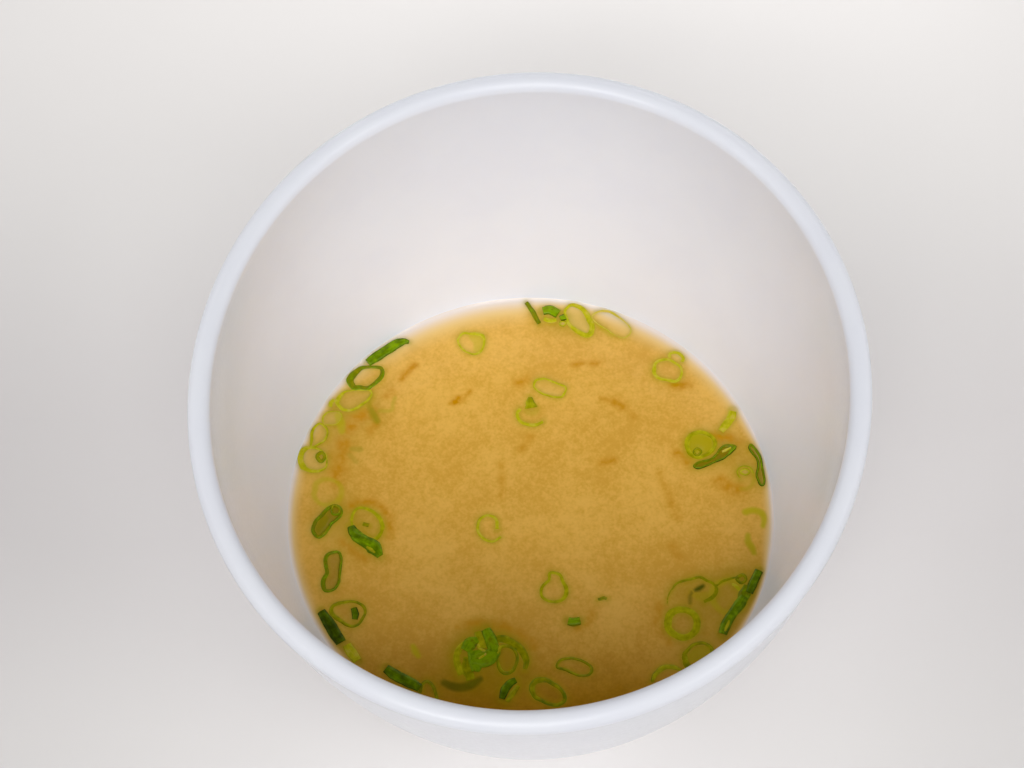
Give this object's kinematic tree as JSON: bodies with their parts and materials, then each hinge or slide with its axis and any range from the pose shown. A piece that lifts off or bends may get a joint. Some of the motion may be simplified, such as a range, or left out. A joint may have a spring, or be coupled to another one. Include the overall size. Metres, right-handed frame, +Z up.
{
  "type": "bowl of miso soup",
  "caption": "Miso soup with floating scallion slices in a deep white bowl with a rounded lip and a plain foot.",
  "frame": {"origin": "on the table, under the middle of the bowl's foot", "axes": "+Z up, +Y away from the person who eats, +X to their right"},
  "size_m": [0.122, 0.13, 0.0852],
  "materials": {
    "bowl": "gloss",
    "soup": "wet gloss",
    "scallion": "wet satin"
  },
  "bodies": {
    "root": {"bowl": "bowl", "soup": "soup", "scallion_clump": "scallion", "strip_far_left": "scallion", "strip_left": "scallion", "strip_near_left": "scallion", "strip_right": "scallion", "strip_near_right": "scallion", "twist_right": "scallion", "leaf_left": "scallion", "ring_far_left": "scallion", "fold_left": "scallion", "ring_left": "scallion", "fold_right": "scallion"}
  },
  "joints": []
}
